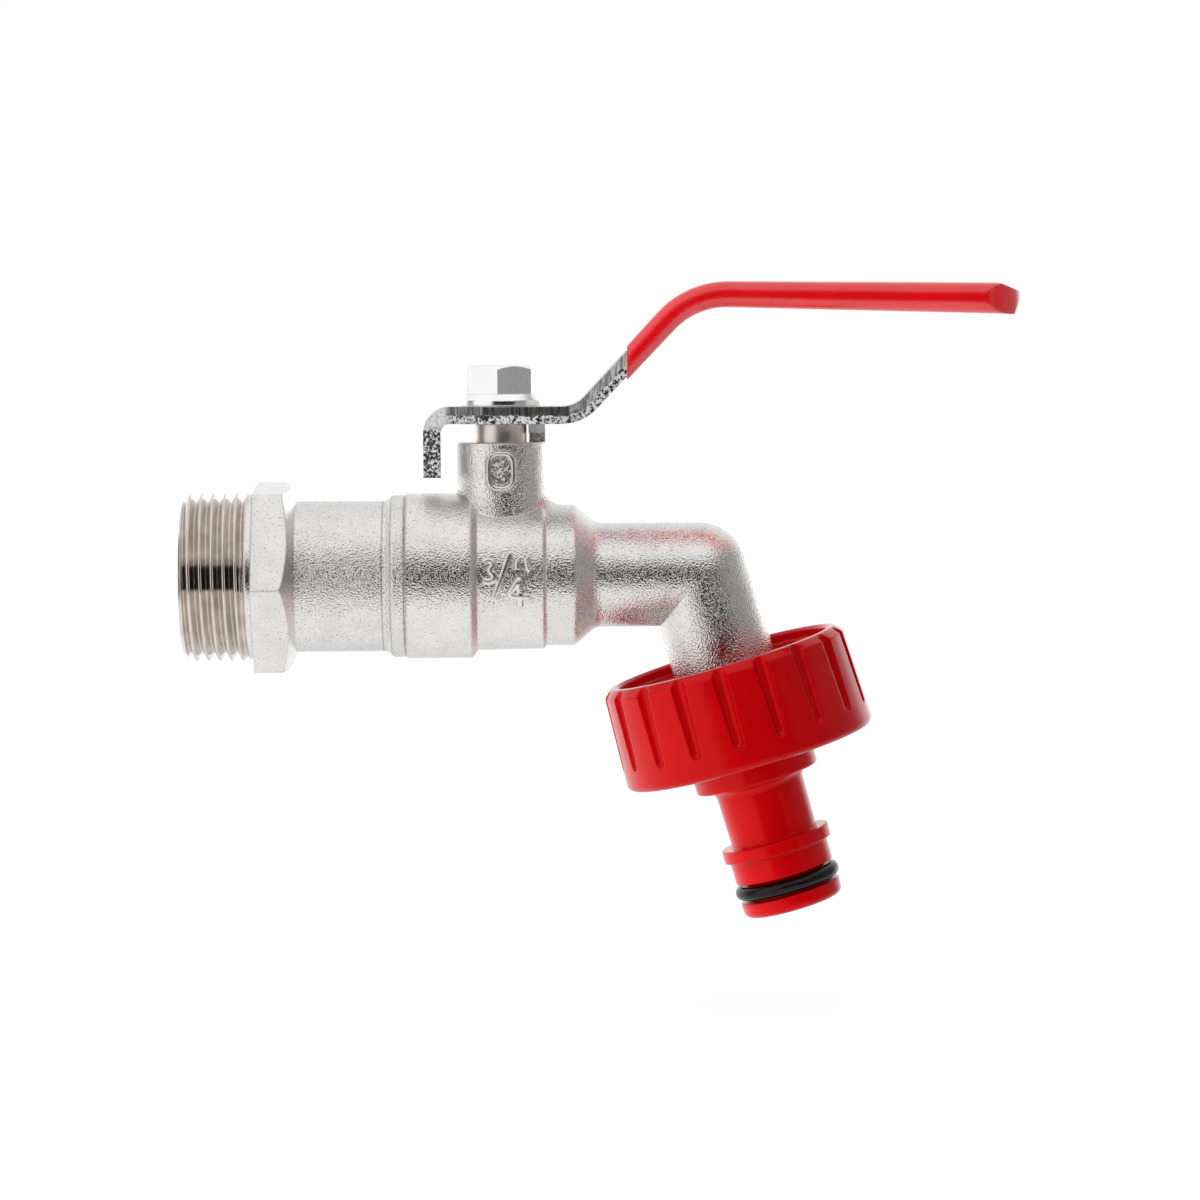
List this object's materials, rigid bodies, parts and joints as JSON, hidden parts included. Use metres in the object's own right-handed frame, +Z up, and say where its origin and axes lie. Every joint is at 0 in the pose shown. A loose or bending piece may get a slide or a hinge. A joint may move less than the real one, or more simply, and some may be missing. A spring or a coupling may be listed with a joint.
{
  "type": "lever ball bib tap",
  "caption": "Nickel-plated lever ball tap for a liquid tank, with a red lever sleeve and a red hose quick-connector on a fluted union nut.",
  "frame": {"origin": "on the pipe axis where the inlet thread ends, just before its hexagon", "axes": "+X along the pipe from inlet to outlet, +Z up along the stem"},
  "size_m": [0.1315, 0.0402, 0.1003],
  "materials": {
    "nickel_forged": "satin",
    "nickel_turned": "polished",
    "zinc_steel": "satin",
    "bright_zinc": "polished",
    "chrome_ball": "polished",
    "red_sleeve": "gloss",
    "red_plastic": "gloss",
    "black_rubber": "satin",
    "white_seal": "matte"
  },
  "bodies": {
    "tap": {"valve_body": "nickel_forged", "inlet_end": "nickel_turned", "inlet_seat": "white_seal", "outlet_seat": "white_seal", "stem_thrust_washer": "white_seal"},
    "lever": {"lever": "zinc_steel", "lever_sleeve": "red_sleeve", "flange_nut": "bright_zinc", "stem": "nickel_turned", "ball": "chrome_ball", "stem_oring_lower": "black_rubber", "stem_oring_upper": "black_rubber"},
    "nipple": {"hose_nipple": "red_plastic", "nipple_oring": "black_rubber", "outlet_washer": "black_rubber"},
    "union": {"union_nut": "red_plastic"}
  },
  "joints": [
    {"name": "lever_turn", "type": "hinge", "parent": "tap", "child": "lever", "pos_m": [0.0402, 0, 0], "axis": [0, 0, 1], "range_deg": [-90, 0]},
    {"name": "nipple_slide", "type": "slide", "parent": "tap", "child": "nipple", "axis": [0.2773, 0, -0.9608], "range_m": [0, 0.00693]},
    {"name": "union_turn", "type": "hinge", "parent": "nipple", "child": "union", "pos_m": [0.071, 0, 0], "axis": [0.2773, 0, -0.9608], "range_deg": [0, 1080]}
  ],
  "couplings": [
    {"joint": "nipple_slide", "follows": "union_turn", "m_per_rad": 0.00036749}
  ]
}
